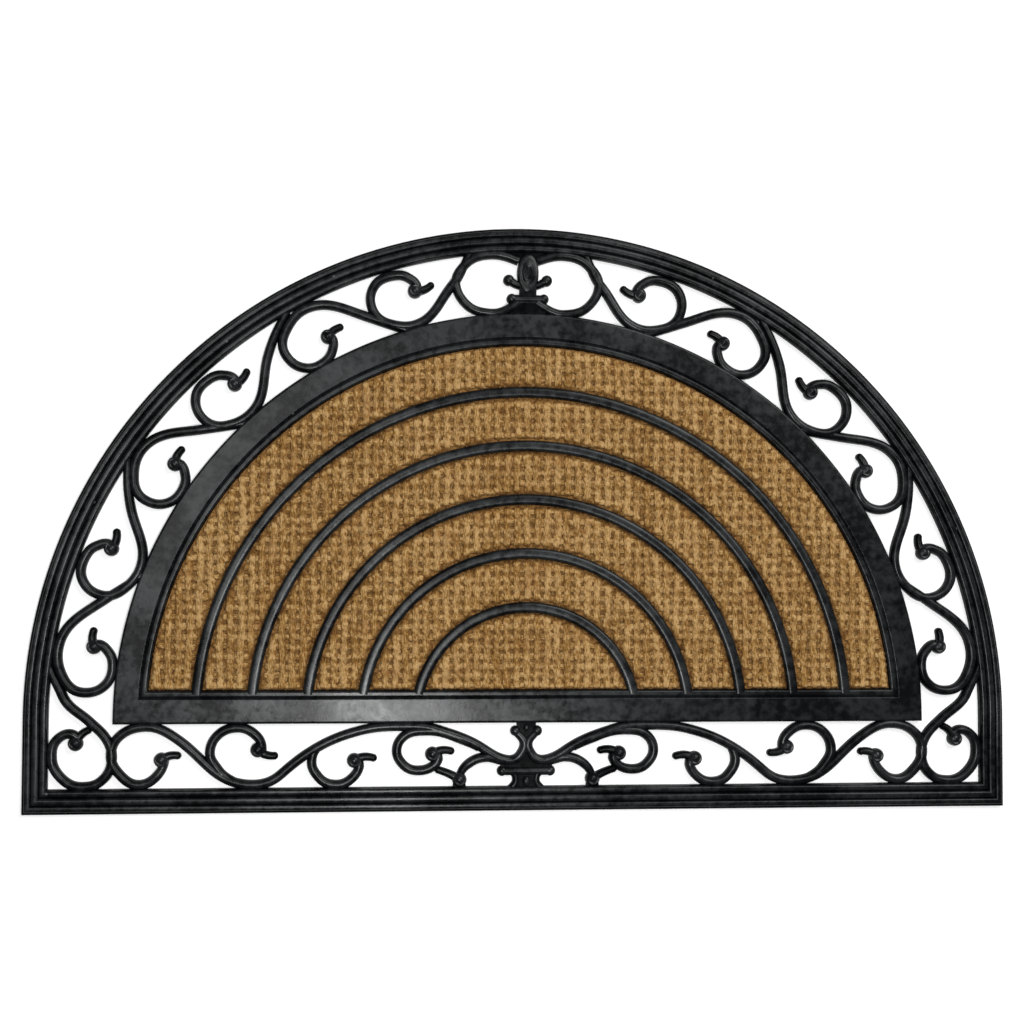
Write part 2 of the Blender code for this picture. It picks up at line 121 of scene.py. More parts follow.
# Ribs: rings about the arch's centre, as a section of (across, height)
RIB_COUNT = 5
FIRST_RIB_RADIUS = 84.2
RIB_PITCH = 41.1
RIB_HALF_WIDTH = 4.2
RIB_UNDERSIDE = 5.4
RIB_TOP = 8.5
RIB_STEP_LENGTH = 4.0
RIB_END_Y = BORDER_BOTTOM + 22.1
RIB_SHAPE = [
    (RIB_HALF_WIDTH, RIB_UNDERSIDE),
    (4.1, 6.5),
    (3.7, 7.4),
    (3.0, 8.05),
    (2.0, 8.4),
    (0.8, RIB_TOP),
]

# Scroll bars: a half-round section that stands on the ground
BAR_HEIGHT = 7.2
BAR_SHAPE = [
    (3.7, 0.0),
    (3.66, 2.8),
    (3.4, 4.4),
    (2.85, 5.6),
    (2.0, 6.55),
    (1.05, 7.05),
    (0.0, BAR_HEIGHT),
]
BAR_STEP_LENGTH = 1.8
BAR_FEWEST_STEPS = 3
HANDLE_SHARE = 0.37
TAIL_ROOT = 0.93
TAIL_TIP = 0.78
TAIL_BOW = 24.0

# Round forms as (share of the radius, share of the height), from the ground to the middle
ROUND_SIDES = 24
DOME = [
    (1.0, 0.0),
    (1.0, 0.36),
    (0.97, 0.52),
    (0.9, 0.68),
    (0.77, 0.82),
    (0.57, 0.93),
    (0.32, 0.99),
    (0.12, 1.0),
]
BUD = [
    (1.0, 0.0),
    (1.0, 0.5),
    (0.95, 0.72),
    (0.84, 0.88),
    (0.7, 0.95),
    (0.57, 0.93),
    (0.47, 0.88),
    (0.37, 0.91),
    (0.22, 0.98),
    (0.1, 1.0),
]
POD = [
    (1.0, 0.0),
    (1.0, 0.62),
    (0.93, 0.82),
    (0.8, 0.9),
    (0.66, 0.91),
    (0.58, 0.87),
    (0.52, 0.93),
    (0.43, 0.99),
    (0.33, 0.94),
    (0.26, 0.84),
    (0.18, 0.79),
]
BUD_RADIUS = 5.6
BUD_HEIGHT = 7.5
KNOB_HEIGHT = 6.9
TAIL_BALL = (2.95, 5.5)

# Rounded upper edge of the plates, as (share of the rounding down from the top, share inwards)
PLATE_ROUNDING = 0.8
PLATE_EDGE = [(1.0, 0.0), (0.3, 0.3), (0.0, 1.0)]

# Edges of the moulding that are sharper than this show as edges (degrees)
SHARP_ANGLE = 38.0

# The band between rim and border that holds the arch's scrolls
BAND_MIDDLE = (ARCH_RADIUS - RIM_WIDTH + BORDER_RADIUS) / 2

# One scroll of the arch, and its two kinds of start. Columns: along (away from the mat's top,
# from the curl's centre), towards (to the side where the scroll starts, from the band's middle),
# heading (degrees from the along axis, turning to the start side), lead share (how much of the
# scroll's own lead lengthens it here) and shift share (how much of its own shift moves it here).
# Columns of the tails' tips: along, towards and bow (degrees)
ARCH_STARTS = {
    "flat": (-75.5, 25.0, -29.0, 1.0, 0.0),
    "steep": (-60.2, 24.8, -56.0, 1.0, 0.0),
}
ARCH_SCROLL = [
    (-45.6, 3.8, -40.0, 1.0, 0.0),
    (-10.8, -20.9, -6.0, 0.5, 0.3),
    (10.5, -14.3, 33.0, 0.0, 1.0),
    (19.4, 0.2, 88.0, 0.0, 1.0),
    (13.1, 15.9, 138.0, 0.0, 1.0),
    (-1.8, 20.3, 185.0, 0.0, 1.0),
    (-13.2, 15.7, 226.0, 0.0, 1.0),
    (-18.0, 8.2, 262.0, 0.0, 1.0),
    (-17.2, 4.4, 280.0, 0.0, 1.0),
]
ARCH_BUD = (-15.6, 4.4, 0.0, 0.0, 1.0)
ARCH_TAILS = {"rim": (-28.2, 5.9, -22.0), "border": (-27.2, 1.8, 20.0)}
ARCH_ENDS = (0.85, 0.88)

# The arch's scrolls. Columns: angle of the curl's centre from the mat's top (degrees), whether
# the scroll starts on the rim or on the border, the kind of start, lead (extra length of its
# straight run) and shift (of its curl towards the start side)
ARCH_SCROLLS = [
    (17.6, "rim", "steep", 0.0, -0.7),
    (30.5, "border", "flat", 3.6, 1.7),
    (44.1, "rim", "flat", 1.6, -1.5),
    (57.0, "border", "flat", 2.6, 0.9),
    (70.5, "rim", "flat", 2.4, -0.4),
    (83.2, "border", "flat", 6.0, 0.1),
]

# Scrolls laid out by x and y, on the left half. Columns of the knots: x, y, heading (degrees).
# A bar is smaller in section at its two ends (ends), where it lies in another piece or in its
# bud, and the loop at the top is a little smaller all along (size). A tail that bows the other
# way has its own bow (degrees)
RING_LOOP = {
    "size": 0.96,
    "ends": (0.96, 0.96),
    "knots": [
        (-7.0, 388.0, 212.0),
        (-28.8, 379.5, 176.0),
        (-47.2, 386.0, 136.0),
        (-55.4, 402.0, 95.0),
        (-47.9, 416.9, 47.0),
        (-28.9, 424.8, 4.0),
        (-7.0, 420.2, -20.0),
    ],
}
CORNER_SCROLL = {
    "ends": (0.85, 0.87),
    "knots": [
        (-357.3, 113.5, -78.0),
        (-346.3, 87.5, -66.0),
        (-326.8, 68.6, -43.0),
        (-312.7, 53.1, -62.0),
        (-310.1, 37.8, -96.0),
        (-318.0, 24.1, -141.0),
        (-332.0, 20.2, 180.0),
        (-346.8, 27.0, 134.0),
        (-353.8, 41.5, 93.0),
        (-350.6, 54.6, 49.0),
        (-339.4, 59.2, -14.0),
        (-334.6, 55.4, -64.0),
    ],
    "bud": (-336.4, 52.4),
    "tail": (-327.8, 62.0),
}
LONG_SCROLL = {
    "ends": (0.9, 0.85),
    "knots": [
        (-271.2, 41.0, -92.0),
        (-277.1, 27.6, -133.0),
        (-290.7, 21.4, 178.0),
        (-303.6, 28.6, 133.0),
        (-310.7, 42.8, 91.0),
        (-304.6, 57.5, 42.0),
        (-287.0, 64.4, 4.0),
        (-261.9, 55.0, -35.0),
        (-239.5, 35.1, -43.0),
        (-206.9, 20.9, -1.0),
        (-185.3, 28.3, 41.0),
        (-160.7, 46.9, 31.0),
        (-128.2, 60.4, 15.0),
        (-98.0, 64.0, 0.0),
        (-66.1, 61.0, -18.0),
        (-38.6, 50.4, -28.0),
        (-14.2, 38.2, -8.0),
        (-4.4, 42.2, 58.0),
        (-1.3, 50.0, 92.0),
        (-8.0, 59.8, 132.0),
    ],
    "bud": (-273.6, 39.8),
    "tail": (-261.8, 43.0),
}
UPPER_CURL = {
    "ends": (0.87, 0.85),
    "knots": [
        (-199.3, 44.8, 80.0),
        (-203.6, 57.4, 137.0),
        (-216.9, 63.5, 179.0),
        (-231.7, 58.4, 222.0),
        (-237.9, 44.8, 269.0),
        (-231.8, 32.3, 306.0),
        (-218.4, 22.7, 333.0),
    ],
    "bud": (-202.4, 46.9),
    "tail": (-190.0, 42.4),
    "bow": -24.0,
}
LOWER_CURL = {
    "ends": (0.85, 0.87),
    "knots": [
        (-156.1, 49.5, 215.0),
        (-162.2, 37.3, 269.0),
        (-156.8, 26.0, 310.0),
        (-143.7, 20.4, 0.0),
        (-131.5, 25.6, 44.0),
        (-126.4, 34.5, 80.0),
        (-127.8, 39.0, 112.0),
    ],
    "bud": (-130.3, 38.6),
    "tail": (-116.0, 40.4),
}
INNER_CURL = {
    "ends": (0.85, 0.87),
    "knots": [
        (-36.0, 47.5, 150.0),
        (-52.0, 54.9, 157.0),
        (-76.0, 60.5, 181.0),
        (-93.1, 56.4, 220.0),
        (-98.4, 45.5, 270.0),
        (-93.4, 35.1, 314.0),
        (-81.7, 30.6, 1.0),
        (-70.0, 34.6, 40.0),
        (-66.8, 40.0, 78.0),
        (-68.6, 43.6, 118.0),
    ],
    "bud": (-71.4, 43.0),
    "tail": (-57.4, 45.2),
}
SHORT_CURL = {
    "ends": (0.85, 0.8),
    "knots": [
        (-16.0, 37.1, 178.0),
        (-31.4, 40.2, 184.0),
        (-43.5, 35.8, 216.0),
        (-50.4, 26.6, 255.0),
    ],
    "bud": (-50.9, 23.7),
    "tail": (-67.0, 31.0),
    "bow": -8.0,
}
FREE_SCROLLS = [
    RING_LOOP,
    CORNER_SCROLL,
    LONG_SCROLL,
    UPPER_CURL,
    LOWER_CURL,
    INNER_CURL,
    SHORT_CURL,
]

# Ornament at the arch's top: a pod on a web, two arms, a collar, a stem and a spreading foot
POD_CENTRE_Y = 410.5
POD_HALF_WIDTH = 8.4
POD_HALF_LENGTH = 15.5
POD_WEB_OUTLINE = [(-10.0, 418.8), (10.0, 418.8), (13.0, 427.2), (-13.0, 427.2)]
POD_WEB_HEIGHT = 4.6
ARM_ROOT_Y = 400.0
ARM_TIP = (14.7, 405.2)
ARM_KNOB_RADIUS = 4.3
COLLAR_Y = 390.8
COLLAR_HALF_LENGTH = 12.4
COLLAR_SIZES = (0.9, 0.9)
ARM_SIZES = (0.9, 0.7, 0.9)
KNOB_RADIUS = 4.0
STEM_OUTLINE = [(-6.6, 387.2), (6.6, 387.2), (6.6, 402.0), (-6.6, 402.0)]
FOOT_OUTLINE = [(-11.0, 390.5), (-15.0, 376.8), (15.0, 376.8), (11.0, 390.5)]
FOOT_HEIGHT = 5.2
STEM_HEIGHT = 5.6

# Ornament at the middle of the straight edge: a neck with a bead, a web, a plate with knobs and
# two legs with a bead between them. A pad under each short curl's bud joins it to the rim.
# Columns of the beads: name, y, radius
NECK_OUTLINE = [(-2.5, 53.0), (2.5, 53.0), (7.4, 59.0), (7.4, 68.5), (-7.4, 68.5), (-7.4, 59.0)]
SHOULDER_KNOB = (8.3, 60.2)
PLATE_Y = 30.0
PLATE_HALF_LENGTH = 18.4
PLATE_SIZES = (0.95, 0.95)
WEB_OUTLINE = [(-20.0, 31.0), (20.0, 31.0), (19.5, 38.0), (0.0, 44.0), (-19.5, 38.0)]
WEB_HEIGHT = 5.0
LEG_KNOTS = [(-11.5, 30.0, -30.0), (-7.6, 23.4, -90.0), (-13.5, 15.0, -135.0)]
LEG_SIZES = (0.8, 0.8, 0.8)
LEG_WEB_OUTLINE = [(-8.0, 16.0), (8.0, 16.0), (8.0, 30.0), (-8.0, 30.0)]
PAD_OUTLINE = [(-56.2, 16.5), (-45.6, 16.5), (-46.4, 23.0), (-55.4, 23.0)]
PAD_HEIGHT = 4.3
BEADS = [("lower_bead", 22.4, 3.5), ("upper_bead", 62.9, 2.5)]
BEAD_STRETCH = 1.25

# Coir: upright cords (warps) over level ones (wefts), on a matted base. The cords stop a little
# short of the panel's edge, and each ply turns round the other once in a twist length
CLEARANCE = 0.3
COIR_RADIUS = BORDER_RADIUS - BORDER_WIDTH - CLEARANCE
COIR_BOTTOM = BORDER_BOTTOM + BORDER_WIDTH + CLEARANCE
BASE_TOP = 4.6
OPEN_TOP = 7.0
PRESSED_TOP = 5.1
RIB_SHOULDER = 3.4
EDGE_SHOULDER = 1.6
EDGE_SINK = 0.5
WARP_PITCH = 7.7
WEFT_PITCH = 7.35
FIRST_WEFT_Y = COIR_BOTTOM + 2.9
CORD_INSET = 0.2
CORD_REACH = COIR_RADIUS - CORD_INSET
END_SPARE = 4.0
SHORTEST_WARP = 8.0
CORD_END_SIZE = 0.55
CORD_EDGE_SHARE = 0.6
WARP = {"half_width": 3.35, "half_height": 1.15, "centre": 5.75, "sides": 12, "step": 1.3}
WEFT = {"half_width": 2.9, "half_height": 0.95, "centre": 5.0, "sides": 8, "step": 1.5}
WARP_BEAD = 0.2
WEFT_WAVE = 0.5
TWIST_LENGTH = 9.5
LOBE_DEPTH = 0.38
WANDER = 0.75
SLUB = 0.11
# Widths in millimetres of the painted shade on the coir beside the ribs and beside the border
RIB_PAINTED_SHADE = 3.2
EDGE_PAINTED_SHADE = 2.0
HAIR_COUNT = 6000
HAIR_RADIUS = 0.15
HAIR_HALF_LENGTHS = (2.0, 5.5)
HAIR_LIFTS = (0.2, 0.75)
HAIR_OFF_RIB = 11.0
HAIR_OFF_EDGE = 8.0
HAIR_TRIES = 3

# Colours of the rubber, as linear red, green and blue
RUBBER_CLEAN = (0.0036, 0.0039, 0.0045)
RUBBER_DUSTY = (0.0140, 0.0162, 0.0170)
# The colour for the low parts is painted shade, for the recesses and the bars' lower flanks
RUBBER_LOW_PAINTED_SHADE = (0.0012, 0.0013, 0.0016)
SPECK_COLOUR = (0.10, 0.104, 0.10)

# Colours of the coir. Columns of the tones: place in the ramp, colour
COIR_TONES = [
    (0.40, (0.080, 0.026, 0.003)),
    (0.50, (0.200, 0.090, 0.017)),
    (0.60, (0.335, 0.176, 0.047)),
    (0.70, (0.580, 0.366, 0.152)),
]
COIR_RED = (0.33, 0.15, 0.045)
# The dark brown is painted shade, given to the coir beside the ribs and the border and low in the
# pits between the cords
COIR_PAINTED_SHADE = (0.040, 0.014, 0.002)
# The base's tones are darker than the cords': partly the matted fibres' own tone, partly painted
# shade in the pits between the cords
BASE_TONES_AND_PIT_SHADE = [(0.35, (0.15, 0.065, 0.012)), (0.7, (0.34, 0.17, 0.045))]
COIR_ROUGHNESS = 0.85
BASE_ROUGHNESS = 0.95

# Camera: place in metres, turn in degrees about x, y and z
CAMERA_PLACE = (-0.139, -0.0438, 1.296)
CAMERA_TURN = (2.103, -5.639, 0.221)
CAMERA_LENS = 59.77

# Lights as (name, place in metres, size in metres, power in watts)
LIGHTS = [
    ("near", (-0.08, -0.225, 1.0), 0.14, 3.9),
    ("panel", (-0.45, 0.25, 2.0), 0.8, 7.3),
    ("side", (0.9, 1.0, 1.4), 1.4, 22.0),
]
WORLD_COLOUR = (0.93, 0.96, 1.0)
WORLD_STRENGTH = 0.08

# Floor: a plain pale sheet a little under the mat, in metres
FLOOR_HALF_SIZE = 4.0
FLOOR_DROP = 0.0003
FLOOR_CELLS = 8
FLOOR_TONES = (0.9, 0.93)
FLOOR_ROUGHNESS = 0.9
FLOOR_GLOW = 0.42


def place(x, y, z=0.0):
    """A point of the tables in the frame's metres."""
    return Vector((x * MM, (y - DEPTH / 2) * MM, z * MM))


def add_object(name, mesh, collection=None):
    thing = bpy.data.objects.new(name, mesh)
    (collection or bpy.context.scene.collection).objects.link(thing)
    return thing


def grid_faces(rows, columns, start=0):
    """Four-sided faces between rows of points, each row a closed ring."""
    row, column = np.meshgrid(np.arange(rows - 1), np.arange(columns), indexing="ij")
    here = start + row * columns + column
    beside = start + row * columns + (column + 1) % columns
    faces = np.stack([here, beside, beside + columns, here + columns], axis=-1)
    return faces.reshape(-1, 4).tolist()


def mesh_of_tubes(name, tubes):
    """One mesh of closed tubes. Each tube is an array of rings of points in millimetres."""
    points = []
    faces = []
    count = 0
    for rings in tubes:
        rows, columns, _ = rings.shape
        faces += grid_faces(rows, columns, count)
        last = count + (rows - 1) * columns
        faces.append(list(range(count, count + columns))[::-1])
        faces.append(list(range(last, last + columns)))
        points.append(rings.reshape(-1, 3))
        count += rows * columns
    points = (np.concatenate(points) - (0.0, DEPTH / 2, 0.0)) * MM
    mesh = bpy.data.meshes.new(name)
    mesh.from_pydata(points.tolist(), [], faces)
    return mesh


def solid(name, rings, collection, is_loop=False):
    """A closed body through rings of equal length, with its faces pointing out."""
    mesh = mesh_of_tubes(name, [np.array(rings, dtype=float)])
    work = bmesh.new()
    work.from_mesh(mesh)
    if is_loop:
        work.faces.ensure_lookup_table()
        ends = [face for face in work.faces if len(face.verts) == len(rings[0])]
        bmesh.ops.delete(work, geom=ends[-2:], context="FACES_ONLY")
        work.verts.ensure_lookup_table()
        count = len(rings[0])
        last = count * (len(rings) - 1)
        for i in range(count):
            j = (i + 1) % count
            corners = (last + i, last + j, j, i)
            work.faces.new([work.verts[corner] for corner in corners])
    if work.calc_volume(signed=True) < 0.0:
        bmesh.ops.reverse_faces(work, faces=work.faces)
    work.to_mesh(mesh)
    work.free()
    return add_object(name, mesh, collection)


def half_round(radius, bottom, height):
    """A half-round outline, anticlockwise from its bottom right corner.

    Its arc starts where the straight side ends, or on the bottom where that lies higher.
    """
    first = math.asin(max(bottom - SIDE_LENGTH, 0.0) / radius)
    lead = 1 if first else 0
    half_bottom = radius * math.cos(first)
    ring = [(half_bottom, bottom, height)]
    for step in range(ARCH_STEPS + 1):
        angle = first + (math.pi - 2 * first) * (step + lead) / (ARCH_STEPS + 2 * lead)
        x = radius * math.cos(angle)
        y = SIDE_LENGTH + radius * math.sin(angle)
        ring.append((x, y, height))
    ring.append((-half_bottom, bottom, height))
    return ring


def rim_section():
    """The rim as insets and heights: a rounded foot, three ridges and an edge."""
    section = list(RIM_FOOT)
    for centre, half_width, crest in RIM_RIDGES:
        for i in range(RIDGE_POINTS):
            across = -1.0 + 2.0 * i / (RIDGE_POINTS - 1)
            height = RIM_GROOVE + (crest - RIM_GROOVE) * (1.0 - abs(across) ** RIDGE_POWER)
            section.append((centre + across * half_width, height))
    return section + RIM_EDGE


def both_sides(shape):
    """A full cross-section, anticlockwise, from its right half."""
    left = [(-across, up) for across, up in reversed(shape) if across > 0.0]
    return np.array(shape + left)


def sweep(route, headings, section, sizes):
    """Rings of a section (across, up) along a level route, at each ring's share of full size."""
    across = np.stack([np.sin(headings), -np.cos(headings), np.zeros_like(headings)], axis=1)
    up = np.array([0.0, 0.0, 1.0])
    side_part = section[None, :, 0, None] * across[:, None, :]
    up_part = section[None, :, 1, None] * up
    return route[:, None, :] + sizes[:, None, None] * (side_part + up_part)


def bar(name, knots, collection, sizes=None):
    """A scroll bar through knots of x, y and heading, each with its share of full size."""
    if sizes is None:
        sizes = [1.0] * len(knots)
    route = []
    headings = []
    shares = []
    for i, (x0, y0, turn0) in enumerate(knots[:-1]):
        x1, y1, turn1 = knots[i + 1]
        start = np.array([x0, y0])
        end = np.array([x1, y1])
        reach = HANDLE_SHARE * np.linalg.norm(end - start)
        angles = np.radians([turn0, turn1])
        first = start + reach * np.array([math.cos(angles[0]), math.sin(angles[0])])
        second = end - reach * np.array([math.cos(angles[1]), math.sin(angles[1])])
        steps = max(BAR_FEWEST_STEPS, math.ceil(reach / HANDLE_SHARE / BAR_STEP_LENGTH))
        is_last = i == len(knots) - 2
        for step in range(steps + is_last):
            t = step / steps
            s = 1.0 - t
            point = s**3 * start + 3 * s * s * t * first + 3 * s * t * t * second + t**3 * end
            slope = s * s * (first - start) + 2 * s * t * (second - first) + t * t * (end - second)
            route.append((*point, 0.0))
            headings.append(math.atan2(slope[1], slope[0]))
            shares.append(s * sizes[i] + t * sizes[i + 1])
    section = both_sides(BAR_SHAPE)
    rings = sweep(np.array(route), np.array(headings), section, np.array(shares))
    return solid(name, rings, collection)


def rib(name, radius, collection):
    """A bar round the arch's centre that ends in the bead on both sides."""
    first = math.asin((RIB_END_Y - SIDE_LENGTH) / radius)
    steps = math.ceil((math.pi - 2 * first) * radius / RIB_STEP_LENGTH)
    angles = np.linspace(first, math.pi - first, steps + 1)
    x = radius * np.cos(angles)
    y = SIDE_LENGTH + radius * np.sin(angles)
    route = np.stack([x, y, np.zeros_like(x)], axis=1)
    section = both_sides(RIB_SHAPE)
    rings = sweep(route, angles + math.pi / 2, section, np.ones_like(angles))
    return solid(name, rings, collection)


def turned(name, x, y, radius, height, profile, collection, stretch=1.0):
    """A turned boss that stands on the ground, longer along y by stretch."""
    angles = 2 * math.pi * (np.arange(ROUND_SIDES) + 0.5) / ROUND_SIDES
    rings = []
    for radius_share, height_share in profile:
        ring_x = x + radius * radius_share * np.cos(angles)
        ring_y = y + radius * radius_share * stretch * np.sin(angles)
        ring_z = np.full_like(angles, height * height_share)
        rings.append(np.stack([ring_x, ring_y, ring_z], axis=1))
    return solid(name, rings, collection)


def plate(name, outline, height, collection):
    """A flat plate that stands on the ground, with its upper edge rounded."""
    flat = np.array(outline)
    middle = flat.mean(axis=0)
    reach = np.abs(flat - middle).max()
    rings = [[(*corner, 0.0) for corner in flat]]
    for drop, inset in PLATE_EDGE:
        share = 1.0 - inset * PLATE_ROUNDING / reach
        corners = middle + (flat - middle) * share
        rings.append([(*corner, height - drop * PLATE_ROUNDING) for corner in corners])
    return solid(name, rings, collection)


def on_arch(knot, scroll):
    """A knot of the arch's scroll in x, y and heading, on the left half."""
    along, towards, heading, lead_share, shift_share = knot
    centre_angle, start_side, _, lead, shift = scroll
    angle = math.radians(centre_angle) + (along - lead_share * lead) / BAND_MIDDLE
    outward = 1.0 if start_side == "rim" else -1.0
    radius = BAND_MIDDLE + outward * (towards + shift_share * shift)
    turn = math.radians(heading)
    forward = (-math.cos(angle), -math.sin(angle))
    across = (-outward * math.sin(angle), outward * math.cos(angle))
    dx = math.cos(turn) * forward[0] + math.sin(turn) * across[0]
    dy = math.cos(turn) * forward[1] + math.sin(turn) * across[1]
    x = -radius * math.sin(angle)
    y = SIDE_LENGTH + radius * math.cos(angle)
    return (x, y, math.degrees(math.atan2(dy, dx)))


def arch_scroll(scroll):
    """One scroll of the arch as a layout in x and y."""
    knots = [ARCH_STARTS[scroll[2]]] + ARCH_SCROLL
    along, towards, bow = ARCH_TAILS[scroll[1]]
    return {
        "ends": ARCH_ENDS,
        "knots": [on_arch(knot, scroll) for knot in knots],
        "bud": on_arch(ARCH_BUD, scroll)[:2],
        "tail": on_arch((along, towards, 0.0, 0.0, 1.0), scroll)[:2],
        "bow": bow,
    }


def tail_knots(layout):
    """A short leaf that leaves the bud with a slight bow."""
    bud, tip = layout["bud"], layout["tail"]
    bow = layout.get("bow", TAIL_BOW)
    heading = math.degrees(math.atan2(tip[1] - bud[1], tip[0] - bud[0]))
    return [(*bud, heading + bow), (*tip, heading - bow)]


def mirrored(knots, side):
    """Knots of the left half as they are (side 1), or on the right half (side -1)."""
    if side > 0:
        return list(knots)
    return [(-x, y, 180.0 - heading) for x, y, heading in knots]


def bar_sizes(layout):
    """Each knot's share of full size."""
    start, end = layout["ends"]
    return [start] + [layout.get("size", 1.0)] * (len(layout["knots"]) - 2) + [end]


def scroll_pieces(name, layout, side, collection):
    knots = mirrored(layout["knots"], side)
    bar(name, knots, collection, bar_sizes(layout))
    if "bud" in layout:
        x, y = layout["bud"]
        turned(name + "_bud", side * x, y, BUD_RADIUS, BUD_HEIGHT, BUD, collection)
        knots = mirrored(tail_knots(layout), side)
        bar(name + "_tail", knots, collection, (TAIL_ROOT, TAIL_TIP))
        x, y = layout["tail"]
        turned(name + "_tip", side * x, y, *TAIL_BALL, DOME, collection)


def top_ornament(collection):
    stretch = POD_HALF_LENGTH / POD_HALF_WIDTH
    turned("pod", 0.0, POD_CENTRE_Y, POD_HALF_WIDTH, BAR_HEIGHT, POD, collection, stretch)
    plate("top_foot", FOOT_OUTLINE, FOOT_HEIGHT, collection)
    plate("stem", STEM_OUTLINE, STEM_HEIGHT, collection)
    plate("pod_web", POD_WEB_OUTLINE, POD_WEB_HEIGHT, collection)
    collar = [(-COLLAR_HALF_LENGTH, COLLAR_Y, 0.0), (COLLAR_HALF_LENGTH, COLLAR_Y, 0.0)]
    bar("collar", collar, collection, COLLAR_SIZES)
    tip_x, tip_y = ARM_TIP
    arms = [(-tip_x, tip_y, -30.0), (0.0, ARM_ROOT_Y, 0.0), (tip_x, tip_y, 30.0)]
    bar("arms", arms, collection, ARM_SIZES)
    for side in (1, -1):
        x = side * tip_x
        turned(f"arm_knob_{side}", x, tip_y, ARM_KNOB_RADIUS, KNOB_HEIGHT, DOME, collection)
        x = side * COLLAR_HALF_LENGTH
        turned(f"collar_knob_{side}", x, COLLAR_Y, KNOB_RADIUS, KNOB_HEIGHT, DOME, collection)


def lower_ornament(collection):
    plate("neck", NECK_OUTLINE, WEB_HEIGHT, collection)
    plate("web", WEB_OUTLINE, WEB_HEIGHT, collection)
    plate("leg_web", LEG_WEB_OUTLINE, WEB_HEIGHT, collection)
    level = [(-PLATE_HALF_LENGTH, PLATE_Y, 0.0), (PLATE_HALF_LENGTH, PLATE_Y, 0.0)]
    bar("plate", level, collection, PLATE_SIZES)
    for name, y, radius in BEADS:
        turned(name, 0.0, y, radius, BAR_HEIGHT, DOME, collection, BEAD_STRETCH)
    for side in (1, -1):
        bar(f"leg_{side}", mirrored(LEG_KNOTS, side), collection, LEG_SIZES)
        x = side * PLATE_HALF_LENGTH
        turned(f"plate_knob_{side}", x, PLATE_Y, KNOB_RADIUS, KNOB_HEIGHT, DOME, collection)
        x, y = SHOULDER_KNOB
        turned(f"shoulder_knob_{side}", side * x, y, KNOB_RADIUS, KNOB_HEIGHT, DOME, collection)
        pad = [(side * x, y) for x, y in PAD_OUTLINE[::side]]
        plate(f"pad_{side}", pad, PAD_HEIGHT, collection)


def build_moulding():
    """The whole rubber moulding as one body, in its fine form."""
    joined = bpy.data.collections.new("joined_pieces")
    bpy.context.scene.collection.children.link(joined)
    border = []
    for inset, height in BORDER_SECTION:
        border.append(half_round(BORDER_RADIUS - inset, BORDER_BOTTOM + inset, height))
    moulding = solid("moulding", border, None)
    rim = [half_round(ARCH_RADIUS - inset, inset, height) for inset, height in rim_section()]
    solid("rim", rim, joined, is_loop=True)
    for i in range(RIB_COUNT):
        rib(f"rib_{i + 1}", FIRST_RIB_RADIUS + i * RIB_PITCH, joined)
    layouts = [arch_scroll(scroll) for scroll in ARCH_SCROLLS] + FREE_SCROLLS
    for side in (1, -1):
        for i, layout in enumerate(layouts):
            scroll_pieces(f"scroll_{i + 1}_{side}", layout, side, joined)
    top_ornament(joined)
    lower_ornament(joined)
    union = moulding.modifiers.new("Union", "BOOLEAN")
    union.operation = "UNION"
    union.solver = "MANIFOLD"
    union.operand_type = "COLLECTION"
    union.collection = joined
    graph = bpy.context.evaluated_depsgraph_get()
    mesh = bpy.data.meshes.new_from_object(moulding.evaluated_get(graph))
    moulding.modifiers.clear()
    moulding.data = mesh
    for piece in list(joined.objects):
        bpy.data.objects.remove(piece, do_unlink=True)
    bpy.data.collections.remove(joined)
    mesh.shade_smooth()
    mesh.set_sharp_from_angle(angle=math.radians(SHARP_ANGLE))
    weighted = moulding.modifiers.new("Weighted", "WEIGHTED_NORMAL")
    weighted.keep_sharp = True
    return moulding


def rise(distance, width):
    """A smooth step from 0 to 1 over a width."""
    share = np.clip(distance / width, 0.0, 1.0)
    return share * share * (3.0 - 2.0 * share)


def sink(x, y):
    """How far the coir is pressed down at a place: under the ribs, and a little at its edge."""
    from_centre = np.hypot(x, y - SIDE_LENGTH)
    nearest = np.round((from_centre - FIRST_RIB_RADIUS) / RIB_PITCH)
    nearest = np.clip(nearest, 0, RIB_COUNT - 1)
    off_rib = np.abs(from_centre - FIRST_RIB_RADIUS - nearest * RIB_PITCH)
    at_rib = 1.0 - rise(off_rib - RIB_HALF_WIDTH - CLEARANCE, RIB_SHOULDER)
    off_edge = np.minimum(COIR_RADIUS - from_centre, y - COIR_BOTTOM)
    at_edge = 1.0 - rise(off_edge, EDGE_SHOULDER)
    return np.maximum(at_rib * (OPEN_TOP - PRESSED_TOP), at_edge * EDGE_SINK)


def slow_wave(length, amount):
    """A gentle random wander along a cord, as a function of the way along it."""
    lengths = RNG.uniform(35.0, 90.0, 3)
    phases = RNG.uniform(0.0, 2 * math.pi, 3)
    return amount / 2 * np.sin(length[:, None] * 2 * math.pi / lengths + phases).sum(axis=1)


def slubs(length):
    """Short uneven swellings along a cord."""
    lengths = RNG.uniform(8.0, 21.0, 3)
    phases = RNG.uniform(0.0, 2 * math.pi, 3)
    return SLUB / 2 * np.sin(length[:, None] * 2 * math.pi / lengths + phases).sum(axis=1)


